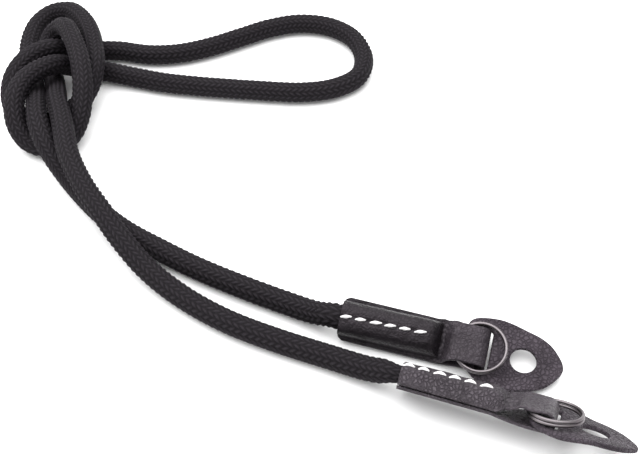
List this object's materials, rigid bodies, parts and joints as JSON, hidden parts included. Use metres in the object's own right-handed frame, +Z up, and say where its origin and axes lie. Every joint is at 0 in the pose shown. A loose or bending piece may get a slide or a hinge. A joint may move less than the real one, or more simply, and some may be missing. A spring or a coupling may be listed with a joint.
{
  "type": "camera strap",
  "caption": "Round braided rope strap, folded and tied in an overhand knot, with folded leather ends that carry split rings and leaf-shaped flaps.",
  "frame": {"origin": "below the middle of the whole strap, on the plane it lies on", "axes": "+X from the knot to the leather ends' side, to the viewer's right; +Y away from the viewer; +Z up from the plane the strap lies on"},
  "size_m": [0.2616, 0.2669, 0.0277],
  "materials": {
    "rope": "matt black braided yarn",
    "cover_leather": "smooth dark leather with fine wrinkles",
    "flap_leather": "pebbled dark leather",
    "ring_steel": "polished dark grey steel wire"
  },
  "bodies": {
    "root": {"rope": "rope", "rear_cover": "cover_leather", "front_cover": "cover_leather", "rear_ring": "ring_steel", "front_ring": "ring_steel", "rear_flap": "flap_leather", "front_flap": "flap_leather"}
  },
  "joints": []
}
